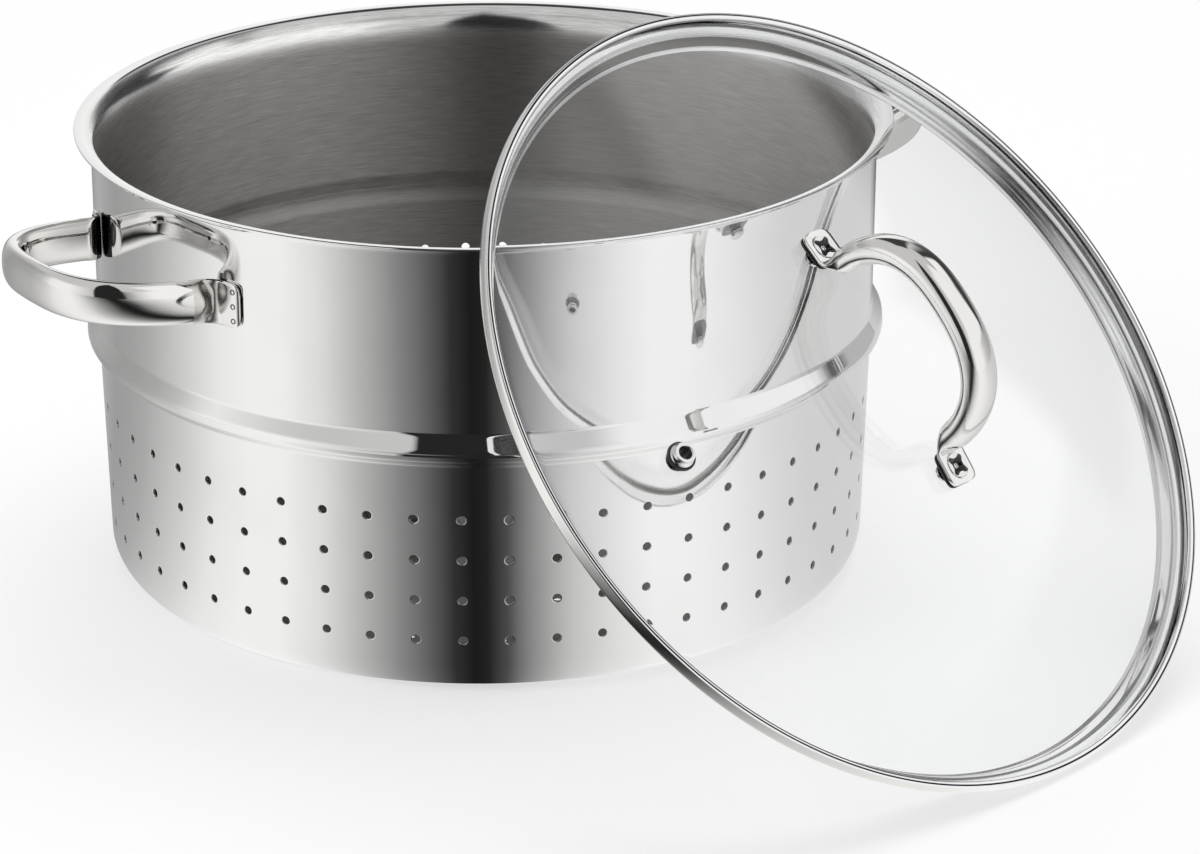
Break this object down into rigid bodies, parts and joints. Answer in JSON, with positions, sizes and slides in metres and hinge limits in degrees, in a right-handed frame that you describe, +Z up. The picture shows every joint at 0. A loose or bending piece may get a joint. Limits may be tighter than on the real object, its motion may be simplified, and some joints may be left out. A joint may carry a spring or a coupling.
{
  "type": "steam juicer basket with glass lid",
  "caption": "Perforated drawn steel steamer basket with a rolled bead and two welded tube handles, with its ringed glass lid leaning on the rim.",
  "frame": {"origin": "on the basket's own axis, at the level its floor stands on", "axes": "+Z up along the basket's axis; the picture looks roughly along +Y and down, and the lid leans in the quarter between +X and -Y"},
  "size_m": [0.4145, 0.403, 0.217],
  "materials": {
    "steel_shell": "mirror polished outside, circular brushed satin inside",
    "steel_handle": "polished bent tube",
    "steel_ring": "polished pressed sheet",
    "steel_trim": "polished",
    "lid_glass": "clear tempered glass",
    "black_silicone": "satin"
  },
  "bodies": {
    "basket": {"basket_shell": "steel_shell", "left_side_handle": "steel_handle", "right_side_handle": "steel_handle"},
    "lid": {"lid_glass": "lid_glass", "lid_rim_ring": "steel_ring", "vent_eyelet": "steel_trim", "vent_gasket": "black_silicone", "lid_handle": "steel_handle", "upper_handle_gasket": "black_silicone", "lower_handle_gasket": "black_silicone", "upper_handle_rivet": "steel_trim", "lower_handle_rivet": "steel_trim", "upper_inner_seal": "black_silicone", "lower_inner_seal": "black_silicone", "upper_inner_washer": "steel_trim", "lower_inner_washer": "steel_trim"}
  },
  "joints": [
    {"name": "lid_lift", "type": "slide", "parent": "basket", "child": "lid", "axis": [0, 0, 1], "range_m": [0, 0.2]}
  ]
}
